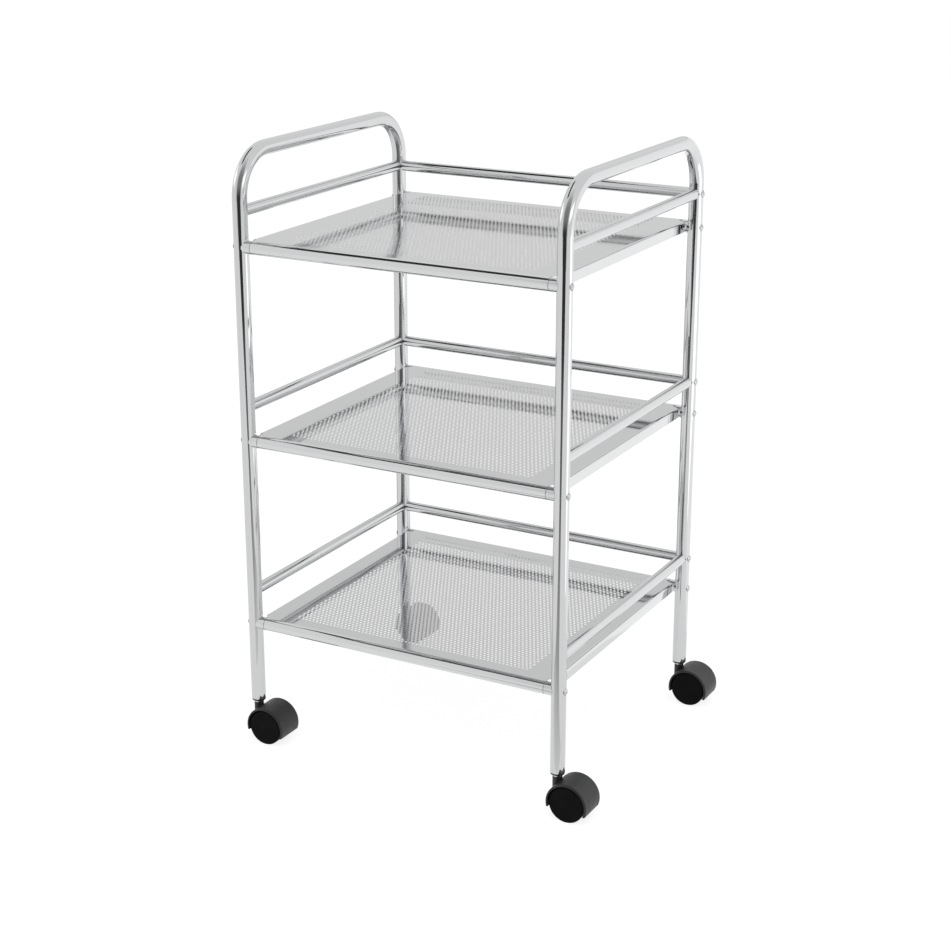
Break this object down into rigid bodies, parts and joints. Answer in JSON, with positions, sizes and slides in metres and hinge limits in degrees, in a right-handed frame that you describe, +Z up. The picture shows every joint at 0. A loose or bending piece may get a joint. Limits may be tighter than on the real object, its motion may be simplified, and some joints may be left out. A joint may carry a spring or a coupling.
{
  "type": "rolling utility cart",
  "caption": "Chromed steel utility cart: bent tube hoops as legs and push handles, flat perforated trays with guard rails, and swivelling hooded twin-wheel castors.",
  "frame": {"origin": "on the floor, under the middle of the cart's bounding box with the castors trailing to the right", "axes": "+X to the cart's right side hoop, +Y to the rear where the back rails are, +Z up"},
  "size_m": [0.4272, 0.3572, 0.669],
  "materials": {
    "chrome_tube": "bright chrome plate on bent steel tube",
    "chrome_tray": "chrome plate on folded, perforated steel sheet",
    "chrome_plug": "chrome plate on a moulded plug",
    "screw_steel": "bright plated screw",
    "insert_steel": "plain zinc plate",
    "castor_steel": "zinc-plated turned steel",
    "hood_plastic": "black moulded nylon, fine satin",
    "wheel_plastic": "black moulded nylon, matte",
    "socket_plastic": "black moulded plastic"
  },
  "bodies": {
    "cart_frame": {"back_rail_inserts": "insert_steel", "back_rail_screws": "screw_steel", "bottom_back_rail": "chrome_tube", "bottom_tray": "chrome_tray", "bottom_tray_plugs": "chrome_plug", "front_left_castor_stem": "castor_steel", "front_left_leg_socket": "socket_plastic", "front_right_castor_stem": "castor_steel", "front_right_leg_socket": "socket_plastic", "left_bottom_side_rail": "chrome_tube", "left_hoop": "chrome_tube", "left_middle_side_rail": "chrome_tube", "left_top_side_rail": "chrome_tube", "middle_back_rail": "chrome_tube", "middle_tray": "chrome_tray", "middle_tray_plugs": "chrome_plug", "rear_left_castor_stem": "castor_steel", "rear_left_leg_socket": "socket_plastic", "rear_right_castor_stem": "castor_steel", "rear_right_leg_socket": "socket_plastic", "right_bottom_side_rail": "chrome_tube", "right_hoop": "chrome_tube", "right_middle_side_rail": "chrome_tube", "right_top_side_rail": "chrome_tube", "top_back_rail": "chrome_tube", "top_tray": "chrome_tray", "top_tray_plugs": "chrome_plug", "tray_screws": "screw_steel"},
    "front_left_castor": {"front_left_castor_hood": "hood_plastic", "front_left_castor_axle": "castor_steel"},
    "front_left_front_wheel": {"front_left_castor_front_wheel": "wheel_plastic"},
    "front_left_rear_wheel": {"front_left_castor_rear_wheel": "wheel_plastic"},
    "front_right_castor": {"front_right_castor_hood": "hood_plastic", "front_right_castor_axle": "castor_steel"},
    "front_right_front_wheel": {"front_right_castor_front_wheel": "wheel_plastic"},
    "front_right_rear_wheel": {"front_right_castor_rear_wheel": "wheel_plastic"},
    "rear_left_castor": {"rear_left_castor_hood": "hood_plastic", "rear_left_castor_axle": "castor_steel"},
    "rear_left_front_wheel": {"rear_left_castor_front_wheel": "wheel_plastic"},
    "rear_left_rear_wheel": {"rear_left_castor_rear_wheel": "wheel_plastic"},
    "rear_right_castor": {"rear_right_castor_hood": "hood_plastic", "rear_right_castor_axle": "castor_steel"},
    "rear_right_front_wheel": {"rear_right_castor_front_wheel": "wheel_plastic"},
    "rear_right_rear_wheel": {"rear_right_castor_rear_wheel": "wheel_plastic"}
  },
  "joints": [
    {"name": "front_left_swivel", "type": "hinge", "parent": "cart_frame", "child": "front_left_castor", "pos_m": [-0.2039, -0.161, 0.0442], "axis": [0, 0, 1], "continuous": true},
    {"name": "front_left_front_wheel_roll", "type": "hinge", "parent": "front_left_castor", "child": "front_left_front_wheel", "pos_m": [-0.1859, -0.1725, 0.02], "axis": [0, 1, 0], "continuous": true},
    {"name": "front_left_rear_wheel_roll", "type": "hinge", "parent": "front_left_castor", "child": "front_left_rear_wheel", "pos_m": [-0.1859, -0.1495, 0.02], "axis": [0, 1, 0], "continuous": true},
    {"name": "front_right_swivel", "type": "hinge", "parent": "cart_frame", "child": "front_right_castor", "pos_m": [0.1721, -0.161, 0.0442], "axis": [0, 0, 1], "continuous": true},
    {"name": "front_right_front_wheel_roll", "type": "hinge", "parent": "front_right_castor", "child": "front_right_front_wheel", "pos_m": [0.1901, -0.1725, 0.02], "axis": [0, 1, 0], "continuous": true},
    {"name": "front_right_rear_wheel_roll", "type": "hinge", "parent": "front_right_castor", "child": "front_right_rear_wheel", "pos_m": [0.1901, -0.1495, 0.02], "axis": [0, 1, 0], "continuous": true},
    {"name": "rear_left_swivel", "type": "hinge", "parent": "cart_frame", "child": "rear_left_castor", "pos_m": [-0.2039, 0.161, 0.0442], "axis": [0, 0, 1], "continuous": true},
    {"name": "rear_left_front_wheel_roll", "type": "hinge", "parent": "rear_left_castor", "child": "rear_left_front_wheel", "pos_m": [-0.1859, 0.1495, 0.02], "axis": [0, 1, 0], "continuous": true},
    {"name": "rear_left_rear_wheel_roll", "type": "hinge", "parent": "rear_left_castor", "child": "rear_left_rear_wheel", "pos_m": [-0.1859, 0.1725, 0.02], "axis": [0, 1, 0], "continuous": true},
    {"name": "rear_right_swivel", "type": "hinge", "parent": "cart_frame", "child": "rear_right_castor", "pos_m": [0.1721, 0.161, 0.0442], "axis": [0, 0, 1], "continuous": true},
    {"name": "rear_right_front_wheel_roll", "type": "hinge", "parent": "rear_right_castor", "child": "rear_right_front_wheel", "pos_m": [0.1901, 0.1495, 0.02], "axis": [0, 1, 0], "continuous": true},
    {"name": "rear_right_rear_wheel_roll", "type": "hinge", "parent": "rear_right_castor", "child": "rear_right_rear_wheel", "pos_m": [0.1901, 0.1725, 0.02], "axis": [0, 1, 0], "continuous": true}
  ]
}
